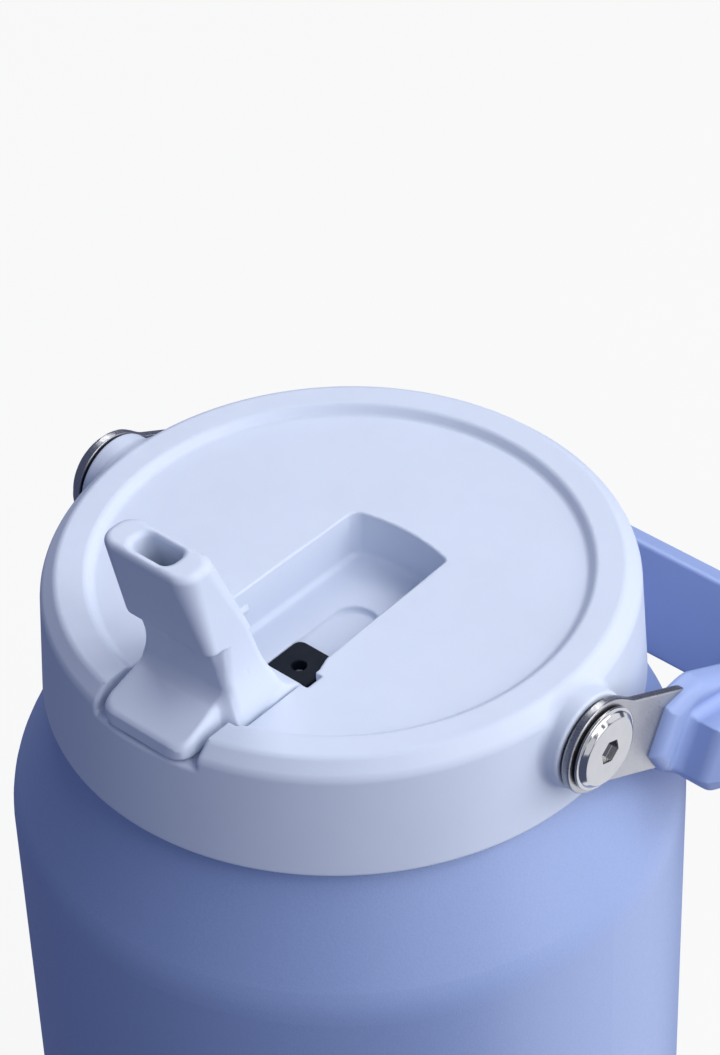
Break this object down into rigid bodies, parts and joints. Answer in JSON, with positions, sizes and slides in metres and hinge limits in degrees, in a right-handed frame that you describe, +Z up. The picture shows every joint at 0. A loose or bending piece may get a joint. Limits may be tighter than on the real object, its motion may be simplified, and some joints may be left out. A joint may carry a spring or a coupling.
{
  "type": "insulated water jug",
  "caption": "Large double-walled steel water jug with a shouldered body, a screw lid, a flip spout with a straw and a swing handle on steel straps.",
  "frame": {"origin": "centre of the foot, on the surface the jug stands on", "axes": "+Z up along the bottle's axis, +Y towards the resting handle, -Y towards the spout's thumb lever, X along the handle's pivot axis"},
  "size_m": [0.1328, 0.1343, 0.2655],
  "materials": {
    "powder_coat": "fine powder coat, periwinkle blue",
    "lid_plastic": "satin moulded, pale blue",
    "handle_plastic": "satin moulded, mid blue",
    "polished_steel": "mirror polished stainless steel",
    "satin_steel": "satin brushed stainless steel",
    "raw_steel": "plain stainless steel",
    "getter": "sintered grey metal",
    "silicone": "satin dark silicone",
    "clear_plastic": "smooth pale translucent plastic",
    "foam": "fine closed-cell foam",
    "nylon": "smooth nylon"
  },
  "bodies": {
    "bottle": {"outer_shell": "powder_coat", "inner_liner": "raw_steel", "base_plate": "powder_coat", "getter_disc": "getter"},
    "seal": {"lid_gasket": "silicone"},
    "lid": {"lid_cover": "lid_plastic", "lid_plug": "clear_plastic", "lid_plate": "clear_plastic", "lid_foam": "foam", "spout_seal": "silicone", "vent_valve": "silicone", "straw_socket": "silicone", "straw": "clear_plastic", "pivot_insert_left": "raw_steel", "pivot_insert_right": "raw_steel", "pivot_screw_left": "polished_steel", "pivot_screw_right": "polished_steel", "inner_washer_left": "nylon", "inner_washer_right": "nylon", "outer_washer_left": "nylon", "outer_washer_right": "nylon"},
    "handle": {"pivot_bush_left": "nylon", "pivot_bush_right": "nylon", "handle_strap_left": "satin_steel", "handle_strap_right": "satin_steel", "strap_rivets_left": "raw_steel", "strap_rivets_right": "raw_steel", "handle_frame": "handle_plastic", "handle_grip": "handle_plastic"},
    "spout": {"flip_spout": "lid_plastic"}
  },
  "joints": [
    {"name": "lid_lift", "type": "slide", "parent": "bottle", "child": "seal", "axis": [0, 0, 1], "range_m": [0, 0.0075]},
    {"name": "lid_turn", "type": "hinge", "parent": "seal", "child": "lid", "pos_m": [0, 0, 0.21], "axis": [0, 0, 1], "range_deg": [0, 540]},
    {"name": "handle_swing", "type": "hinge", "parent": "lid", "child": "handle", "pos_m": [0, 0, 0.2226], "axis": [1, 0, 0], "range_deg": [0, 230]},
    {"name": "spout_flip", "type": "hinge", "parent": "lid", "child": "spout", "pos_m": [0.0022, -0.0295, 0.2258], "axis": [1, 0, 0], "range_deg": [-105, 0]}
  ],
  "couplings": [
    {"joint": "lid_lift", "follows": "lid_turn", "m_per_rad": 0.00079577}
  ]
}
